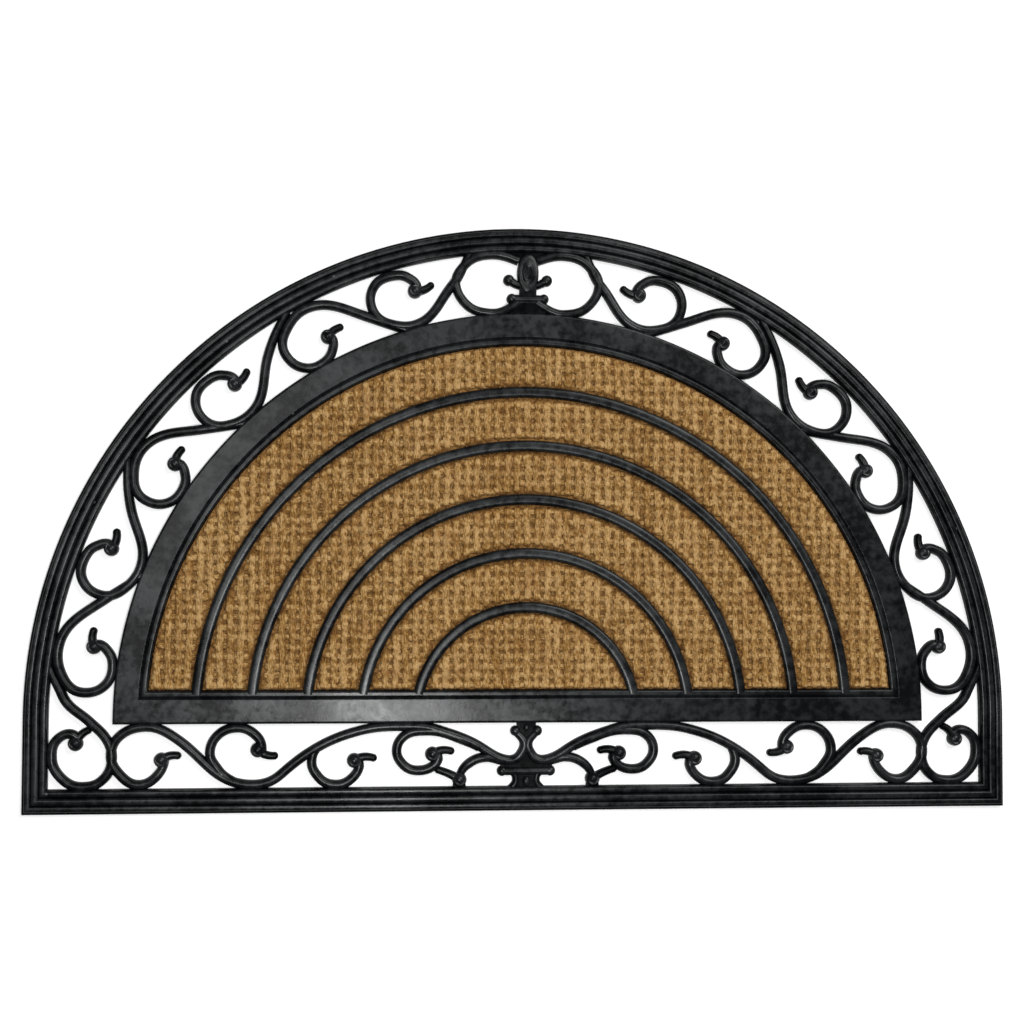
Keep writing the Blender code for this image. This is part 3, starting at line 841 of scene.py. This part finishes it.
def cord(route, across, form):
    """Rings of a two-ply cord along a route. The plies turn round each other."""
    along = np.r_[0.0, np.cumsum(np.linalg.norm(np.diff(route, axis=0), axis=1))]
    turn = TWIST_LENGTH * RNG.uniform(0.9, 1.12)
    twist = 2 * math.pi * along / turn + RNG.uniform(0.0, 2 * math.pi)
    angles = 2 * math.pi * np.arange(form["sides"]) / form["sides"]
    lobes = 1.0 - LOBE_DEPTH * (1.0 - np.abs(np.cos(angles[None, :] - twist[:, None])))
    press = sink(route[:, 0], route[:, 1]) / (OPEN_TOP - PRESSED_TOP)
    size = 1.0 + slow_wave(along, 0.1) + slubs(along)
    ends = np.ones_like(along)
    ends[[0, -1]] = CORD_END_SIZE
    wide = lobes * (form["half_width"] * size * ends)[:, None] * np.cos(angles)
    high = lobes * (form["half_height"] * ends * (1.0 - 0.25 * press))[:, None] * np.sin(angles)
    rings = route[:, None, :] + wide[:, :, None] * np.array(across)
    rings[:, :, 2] += high
    return rings


def warps():
    """Upright cords, each rising a little over every weft."""
    count = math.floor((CORD_REACH - END_SPARE) / WARP_PITCH)
    made = []
    for i in range(-count, count + 1):
        x = i * WARP_PITCH
        off_middle = abs(x) + WARP["half_width"] * CORD_EDGE_SHARE
        top = SIDE_LENGTH + math.sqrt(CORD_REACH**2 - off_middle**2)
        bottom = COIR_BOTTOM + CORD_INSET
        if top - bottom < SHORTEST_WARP:
            continue
        y = np.linspace(bottom, top, math.ceil((top - bottom) / WARP["step"]) + 1)
        sway = x + slow_wave(y, WANDER)
        bead = WARP_BEAD * np.cos(2 * math.pi * (y - FIRST_WEFT_Y) / WEFT_PITCH)
        z = WARP["centre"] + bead - sink(sway, y)
        route = np.stack([sway, y, z], axis=1)
        made.append(cord(route, (1.0, 0.0, 0.0), WARP))
    return made


def wefts():
    """Level cords, each rising between the warps and dipping under them."""
    made = []
    y = FIRST_WEFT_Y
    while y < SIDE_LENGTH + CORD_REACH - END_SPARE:
        off_centre = y - SIDE_LENGTH + WEFT["half_width"] * CORD_EDGE_SHARE
        half = math.sqrt(CORD_REACH**2 - off_centre**2)
        x = np.linspace(-half, half, math.ceil(2 * half / WEFT["step"]) + 1)
        sway = y + slow_wave(x, WANDER)
        wave = -WEFT_WAVE * np.cos(2 * math.pi * x / WARP_PITCH)
        z = WEFT["centre"] + wave - 0.6 * sink(x, sway)
        route = np.stack([x, sway, z], axis=1)
        made.append(cord(route, (0.0, 1.0, 0.0), WEFT))
        y += WEFT_PITCH
    return made


def hairs():
    """Loose fibres that stand a little out of the cords, as slim spindles."""
    tries = HAIR_COUNT * HAIR_TRIES
    x = RNG.uniform(-COIR_RADIUS, COIR_RADIUS, tries)
    y = RNG.uniform(COIR_BOTTOM, SIDE_LENGTH + COIR_RADIUS, tries)
    from_centre = np.hypot(x, y - SIDE_LENGTH)
    rib_share = (from_centre - FIRST_RIB_RADIUS + RIB_PITCH / 2) % RIB_PITCH - RIB_PITCH / 2
    is_open = np.abs(rib_share) > HAIR_OFF_RIB
    is_open |= from_centre < FIRST_RIB_RADIUS - HAIR_OFF_RIB - 1.0
    is_inside = (from_centre < COIR_RADIUS - HAIR_OFF_EDGE) & (y > COIR_BOTTOM + HAIR_OFF_EDGE)
    x, y = x[is_open & is_inside][:HAIR_COUNT], y[is_open & is_inside][:HAIR_COUNT]
    count = len(x)
    half = RNG.uniform(*HAIR_HALF_LENGTHS, count)
    turn = RNG.normal(math.pi / 2, 0.7, count)
    way = np.stack([np.cos(turn), np.sin(turn), np.zeros(count)], axis=1)
    side = np.stack([-way[:, 1], way[:, 0], np.zeros(count)], axis=1)
    lift = RNG.uniform(*HAIR_LIFTS, count)
    middle = np.stack([x, y, OPEN_TOP - 0.15 + lift], axis=1)
    tips = [middle + sign * half[:, None] * way - [[0.0, 0.0, 1.0]] for sign in (-1, 1)]
    points = [tips[0]]
    bend = RNG.normal(0.0, 0.5, (2, count))
    for sign, bow in zip((-1, 1), bend):
        centre = middle + sign * 0.35 * half[:, None] * way + bow[:, None] * side
        for corner in range(3):
            angle = 2 * math.pi * corner / 3
            up = np.array([0.0, 0.0, math.sin(angle)])
            points.append(centre + HAIR_RADIUS * (math.cos(angle) * side + up))
    points.append(tips[1])
    points = np.stack(points, axis=1)
    faces = []
    for i in range(3):
        j = (i + 1) % 3
        faces += [(0, 1 + j, 1 + i), (1 + i, 1 + j, 4 + j)]
        faces += [(1 + i, 4 + j, 4 + i), (4 + i, 4 + j, 7)]
    faces = (np.arange(count)[:, None, None] * 8 + np.array(faces)).reshape(-1, 3)
    mesh = bpy.data.meshes.new("coir_hairs")
    points = (points.reshape(-1, 3) - (0.0, DEPTH / 2, 0.0)) * MM
    mesh.from_pydata(points.tolist(), [], faces.tolist())
    return mesh


def faced_out(mesh):
    """Turns the mesh's faces outwards if they point in."""
    work = bmesh.new()
    work.from_mesh(mesh)
    if work.calc_volume(signed=True) < 0.0:
        bmesh.ops.reverse_faces(work, faces=work.faces)
    work.to_mesh(mesh)
    work.free()
    mesh.shade_smooth()
    return mesh


def build_coir():
    """The matted base, the two halves of the warps, the wefts and the loose fibres."""
    heights = (FLOOR_HEIGHT + CLEARANCE, BASE_TOP)
    outlines = [half_round(COIR_RADIUS, COIR_BOTTOM, height) for height in heights]
    base = solid("coir_base", outlines, None)
    upright = warps()
    middle = len(upright) // 2
    meshes = [
        mesh_of_tubes("coir_warps_left", upright[:middle]),
        mesh_of_tubes("coir_warps_right", upright[middle:]),
        mesh_of_tubes("coir_wefts", wefts()),
        hairs(),
    ]
    return base, [add_object(mesh.name, faced_out(mesh)) for mesh in meshes]


def add_node(tree, kind, inputs=(), **settings):
    """A shader node with its settings. Its inputs are set, or linked where they are sockets."""
    node = tree.nodes.new("ShaderNode" + kind)
    for name, value in settings.items():
        setattr(node, name, value)
    for key, value in dict(inputs).items():
        if isinstance(value, bpy.types.NodeSocket):
            tree.links.new(value, node.inputs[key])
        else:
            node.inputs[key].default_value = value
    return node


def noise(tree, coords, scale, detail=3.0, roughness=0.55):
    """A noise value, with its scale in features a metre."""
    inputs = {"Vector": coords, "Scale": scale, "Detail": detail, "Roughness": roughness}
    return add_node(tree, "TexNoise", inputs).outputs["Fac"]


def stretched(tree, coords, scale, turn):
    """Coordinates scaled by axis after a turn about z (degrees)."""
    inputs = {"Vector": coords, "Rotation": (0.0, 0.0, math.radians(turn)), "Scale": scale}
    return add_node(tree, "Mapping", inputs, vector_type="POINT").outputs["Vector"]


def blend_maths(tree, operation, first, second):
    return add_node(tree, "Math", {0: first, 1: second}, operation=operation).outputs[0]


def between(tree, value, low, high, new_low=0.0, new_high=1.0):
    """A value moved from one range to another, and held inside it."""
    inputs = {0: value, 1: low, 2: high, 3: new_low, 4: new_high}
    return add_node(tree, "MapRange", inputs).outputs[0]


def mix(tree, share, first, second):
    """A colour between two, each of them a colour of three values or a socket."""
    ends = [(*end, 1.0) if isinstance(end, tuple) else end for end in (first, second)]
    inputs = {0: share, 6: ends[0], 7: ends[1]}
    return add_node(tree, "Mix", inputs, data_type="RGBA").outputs[2]


def ramp(tree, value, stops):
    """A colour ramp through stops of (place, colour)."""
    node = add_node(tree, "ValToRGB", {0: value})
    elements = node.color_ramp.elements
    while len(elements) < len(stops):
        elements.new(0.5)
    for element, (spot, colour) in zip(elements, stops):
        element.position = spot
        element.color = (*colour, 1.0)
    return node.outputs[0]


def new_material(name):
    material = bpy.data.materials.new(name)
    material.use_nodes = True
    tree = material.node_tree
    coords = add_node(tree, "TexCoord").outputs["Object"]
    return material, tree, tree.nodes["Principled BSDF"], coords


def set_bump(tree, shader, height, depth, strength):
    """Relief of a depth in millimetres."""
    inputs = {"Height": height, "Distance": depth * MM, "Strength": strength}
    bump = add_node(tree, "Bump", inputs)
    tree.links.new(bump.outputs["Normal"], shader.inputs["Normal"])


def rubber_material():
    """Near-black moulded rubber with dust, specks and a fine grain, and painted shade where it is
    low: a darker colour and less gloss in the recesses and on the bars' lower flanks.
    """
    material, tree, shader, coords = new_material("rubber")
    clouds = noise(tree, coords, 20.0, 4.0)
    mottle = noise(tree, coords, 160.0, 4.0)
    grain = noise(tree, coords, 1500.0, 2.0)
    patches = blend_maths(tree, "ADD", clouds, blend_maths(tree, "MULTIPLY", mottle, 0.6))
    dust = between(tree, patches, 0.67, 0.92)
    plain = mix(tree, dust, RUBBER_CLEAN, RUBBER_DUSTY)
    height = add_node(tree, "SeparateXYZ", {0: coords}).outputs["Z"]
    # Painted shade: low places, the recesses and the bars' lower flanks, get a darker colour and
    # less gloss
    painted_shade_by_height = between(tree, height, 5.1 * MM, 6.4 * MM, 0.15, 1.0)
    plain = mix(tree, painted_shade_by_height, RUBBER_LOW_PAINTED_SHADE, plain)
    specks = add_node(tree, "TexVoronoi", {"Vector": coords, "Scale": 62.0})
    is_near = blend_maths(tree, "LESS_THAN", specks.outputs["Distance"], 0.055)
    chosen = add_node(tree, "SeparateColor", {0: specks.outputs["Color"]}).outputs[0]
    is_chosen = blend_maths(tree, "GREATER_THAN", chosen, 0.8)
    speck = blend_maths(tree, "MULTIPLY", is_near, is_chosen)
    colour = mix(tree, speck, plain, SPECK_COLOUR)
    tree.links.new(colour, shader.inputs["Base Color"])
    rough = between(tree, mottle, 0.3, 0.7, 0.22, 0.34)
    tree.links.new(rough, shader.inputs["Roughness"])
    gloss = between(tree, patches, 0.67, 0.92, 0.17, 0.33)
    gloss = blend_maths(tree, "MULTIPLY", gloss, painted_shade_by_height)
    tree.links.new(gloss, shader.inputs["Specular IOR Level"])
    relief = blend_maths(tree, "ADD", blend_maths(tree, "MULTIPLY", grain, 0.35), mottle)
    set_bump(tree, shader, relief, 0.25, 0.4)
    return material


def painted_shade_beside_rubber(tree, coords, height):
    """A share from 0 beside a rib or the border to 1 on the open coir, the mask of the painted
    shade there.
    """
    centre = tuple(place(0.0, SIDE_LENGTH, height))
    away = add_node(tree, "VectorMath", {0: coords, 1: centre}, operation="DISTANCE")
    away = away.outputs["Value"]
    from_first = blend_maths(tree, "SUBTRACT", away, FIRST_RIB_RADIUS * MM)
    nearest = blend_maths(tree, "DIVIDE", from_first, RIB_PITCH * MM)
    nearest = blend_maths(tree, "ROUND", nearest, 0.0)
    last = RIB_COUNT - 1.0
    nearest = between(tree, nearest, 0.0, last, 0.0, last)
    rib_place = blend_maths(tree, "MULTIPLY", nearest, RIB_PITCH * MM)
    off_rib = blend_maths(tree, "SUBTRACT", from_first, rib_place)
    off_rib = blend_maths(tree, "ABSOLUTE", off_rib, 0.0)
    off_arc = blend_maths(tree, "SUBTRACT", COIR_RADIUS * MM, away)
    y = add_node(tree, "SeparateXYZ", {0: coords}).outputs["Y"]
    off_bottom = blend_maths(tree, "SUBTRACT", y, place(0.0, COIR_BOTTOM).y)
    off_edge = blend_maths(tree, "MINIMUM", off_arc, off_bottom)
    rib_edge = (RIB_HALF_WIDTH + CLEARANCE) * MM
    by_rib = between(tree, off_rib, rib_edge, rib_edge + RIB_PAINTED_SHADE * MM)
    by_edge = between(tree, off_edge, 0.0, EDGE_PAINTED_SHADE * MM)
    return blend_maths(tree, "MULTIPLY", by_rib, by_edge)


def coir_material(name, pitch, first, axis, depth):
    """Golden-brown coir: a tint for each cord, twisted fibres, and paler and redder patches, with
    a painted highlight on the cords' crests and painted shade on their flanks, low in the pits and
    beside the rubber.
    """
    material, tree, shader, coords = new_material(name)
    parts = add_node(tree, "SeparateXYZ", {0: coords})
    across = parts.outputs[axis]
    spot = blend_maths(tree, "SUBTRACT", across, first)
    index = blend_maths(tree, "ROUND", blend_maths(tree, "DIVIDE", spot, pitch * MM), 0.0)
    tint = add_node(tree, "TexWhiteNoise", {"W": index}, noise_dimensions="1D").outputs["Value"]
    along_y = axis == 0
    scale = (1500.0, 190.0, 900.0) if along_y else (190.0, 1500.0, 900.0)
    fibres = noise(tree, stretched(tree, coords, scale, 24.0 if along_y else -24.0), 1.0, 2.0)
    patch = noise(tree, coords, 55.0, 3.0)
    blotch = noise(tree, coords, 240.0, 3.0, 0.7)
    tone = blend_maths(tree, "MULTIPLY", fibres, 0.54)
    for part, share in ((blotch, 0.5), (tint, 0.06), (patch, 0.10)):
        tone = blend_maths(tree, "ADD", tone, blend_maths(tree, "MULTIPLY", part, share))
    # Painted highlight and shade: the tone is paler on the cords' crests and browner on their
    # flanks
    crest = between(tree, parts.outputs["Z"], (depth - 0.5) * MM, (depth + 0.8) * MM, -0.06, 0.06)
    tone = blend_maths(tree, "ADD", tone, crest)
    colour = ramp(tree, tone, COIR_TONES)
    redness = between(tree, noise(tree, coords, 70.0, 2.0), 0.54, 0.72, 0.0, 0.35)
    colour = mix(tree, redness, colour, COIR_RED)
    # Painted shade: the coir darkens towards a dark brown beside the ribs and the border, and on
    # the cords' low parts in the pits
    painted_shade_by_rubber = painted_shade_beside_rubber(tree, coords, depth)
    painted_pit_shade = between(tree, parts.outputs["Z"], (depth - 1.9) * MM, depth * MM, 0.78, 1.0)
    painted_shade_by_rubber = between(tree, painted_shade_by_rubber, 0.0, 1.0, 0.34, 1.0)
    shade = blend_maths(tree, "MULTIPLY", painted_shade_by_rubber, painted_pit_shade)
    colour = mix(tree, shade, COIR_PAINTED_SHADE, colour)
    tree.links.new(colour, shader.inputs["Base Color"])
    shader.inputs["Roughness"].default_value = COIR_ROUGHNESS
    shader.inputs["Specular IOR Level"].default_value = 0.2
    shader.inputs["Sheen Weight"].default_value = 0.04
    set_bump(tree, shader, fibres, 0.6, 0.9)
    return material


def base_material():
    """The matted fibres that show between the cords, darker than the cords: partly their own tone,
    partly painted shade for the pits.
    """
    material, tree, shader, coords = new_material("coir_dark_and_pit_shade")
    matted = noise(tree, coords, 700.0, 4.0)
    colour = ramp(tree, matted, BASE_TONES_AND_PIT_SHADE)
    tree.links.new(colour, shader.inputs["Base Color"])
    shader.inputs["Roughness"].default_value = BASE_ROUGHNESS
    set_bump(tree, shader, matted, 0.6, 0.8)
    return material


def floor_material():
    material, tree, shader, coords = new_material("floor")
    tone = between(tree, noise(tree, coords, 3.0), 0.3, 0.7, *FLOOR_TONES)
    colour = add_node(tree, "CombineColor", {0: tone, 1: tone, 2: tone}).outputs[0]
    tree.links.new(colour, shader.inputs["Base Color"])
    shader.inputs["Roughness"].default_value = FLOOR_ROUGHNESS
    shader.inputs["Emission Strength"].default_value = FLOOR_GLOW
    return material


def dress(piece, material):
    piece.data.materials.clear()
    piece.data.materials.append(material)
    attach(piece, "root")


def add_camera():
    data = bpy.data.cameras.new("camera")
    data.sensor_width = 36.0
    data.lens = CAMERA_LENS
    data.clip_start = 0.05
    camera = add_object("camera", data)
    camera.location = CAMERA_PLACE
    camera.rotation_euler = Euler([math.radians(turn) for turn in CAMERA_TURN])
    bpy.context.scene.camera = camera


def add_lights():
    for name, spot, size, power in LIGHTS:
        data = bpy.data.lights.new(name, "AREA")
        data.shape = "DISK"
        data.size = size
        data.energy = power
        light = add_object(name, data)
        light.location = spot
        light.rotation_euler = (-Vector(spot)).to_track_quat("-Z", "Y").to_euler()
    world = bpy.data.worlds.new("studio")
    world.use_nodes = True
    background = world.node_tree.nodes["Background"]
    background.inputs["Color"].default_value = (*WORLD_COLOUR, 1.0)
    background.inputs["Strength"].default_value = WORLD_STRENGTH
    bpy.context.scene.world = world
    bpy.context.scene.view_settings.view_transform = "Standard"


def add_floor():
    mesh = bpy.data.meshes.new("floor")
    work = bmesh.new()
    cells = {"x_segments": FLOOR_CELLS, "y_segments": FLOOR_CELLS}
    bmesh.ops.create_grid(work, size=FLOOR_HALF_SIZE, **cells)
    bmesh.ops.translate(work, verts=work.verts, vec=(0.0, 0.0, -FLOOR_DROP))
    work.to_mesh(mesh)
    work.free()
    mesh.materials.append(floor_material())
    add_object("floor", mesh)


def main():
    moulding = build_moulding()
    dress(moulding, rubber_material())
    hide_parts("rubber_moulding")
    base, cords = build_coir()
    dress(base, base_material())
    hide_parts("coir_panel")
    first_weft = (FIRST_WEFT_Y - DEPTH / 2) * MM
    warp_look = coir_material("coir_warp", WARP_PITCH, 0.0, 0, WARP["centre"] + 0.4)
    weft_look = coir_material("coir_weft", WEFT_PITCH, first_weft, 1, WEFT["centre"] + 0.6)
    for piece in cords:
        dress(piece, weft_look if piece.name == "coir_wefts" else warp_look)
    add_camera()
    add_lights()
    add_floor()
    bpy.context.view_layer.update()


main()
